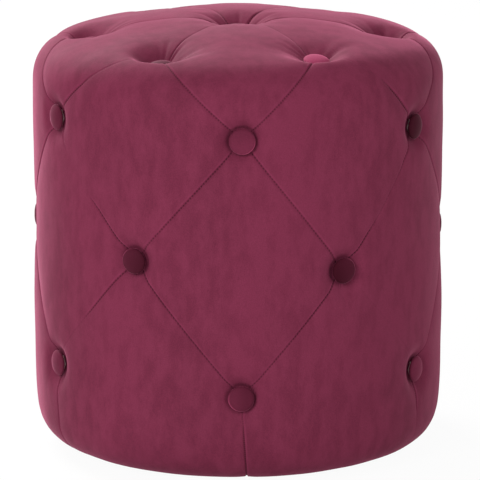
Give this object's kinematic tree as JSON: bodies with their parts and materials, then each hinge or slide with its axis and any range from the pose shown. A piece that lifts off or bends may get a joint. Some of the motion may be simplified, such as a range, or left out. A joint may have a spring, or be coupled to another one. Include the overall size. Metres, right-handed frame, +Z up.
{
  "type": "tufted pouf",
  "caption": "Round upholstered pouf: a padded velvet drum with diamond tufting, covered buttons, pleats over a crowned top and small glides underneath.",
  "frame": {"origin": "on the floor under the middle of the drum, level with the glides' undersides", "axes": "+Z up, front towards -Y as in the picture, X to the right"},
  "size_m": [0.4018, 0.4019, 0.4246],
  "materials": {
    "velvet": "short-pile cotton velvet, dusty plum",
    "button_velvet": "the same velvet drawn tight over button moulds",
    "foam": "open-cell polyurethane foam",
    "plywood": "raw birch plywood",
    "hardboard": "smooth brown hardboard",
    "softwood": "sawn softwood",
    "screw_steel": "zinc-plated wood screws",
    "button_plastic": "moulded button backs",
    "twine": "waxed tufting twine",
    "toggle_plastic": "moulded toggles",
    "dust_fabric": "black non-woven dust cover",
    "glide_plastic": "black nail-on glides",
    "nail_steel": "plain steel nails"
  },
  "bodies": {
    "root": {"base_ring": "plywood", "base_ring_screws": "screw_steel", "button_backs": "button_plastic", "centre_button": "button_velvet", "cord_toggles": "toggle_plastic", "cover": "velvet", "dust_cover": "dust_fabric", "glide_nails": "nail_steel", "glides": "glide_plastic", "lower_row_buttons": "button_velvet", "middle_row_buttons": "button_velvet", "post_1": "softwood", "post_2": "softwood", "post_3": "softwood", "post_4": "softwood", "post_5": "softwood", "post_6": "softwood", "side_foam": "foam", "top_board": "plywood", "top_board_screws": "screw_steel", "top_foam": "foam", "top_ring_buttons": "button_velvet", "tuft_cords": "twine", "upper_row_buttons": "button_velvet", "wall_panel_1": "hardboard", "wall_panel_10": "hardboard", "wall_panel_11": "hardboard", "wall_panel_12": "hardboard", "wall_panel_2": "hardboard", "wall_panel_3": "hardboard", "wall_panel_4": "hardboard", "wall_panel_5": "hardboard", "wall_panel_6": "hardboard", "wall_panel_7": "hardboard", "wall_panel_8": "hardboard", "wall_panel_9": "hardboard"}
  },
  "joints": []
}
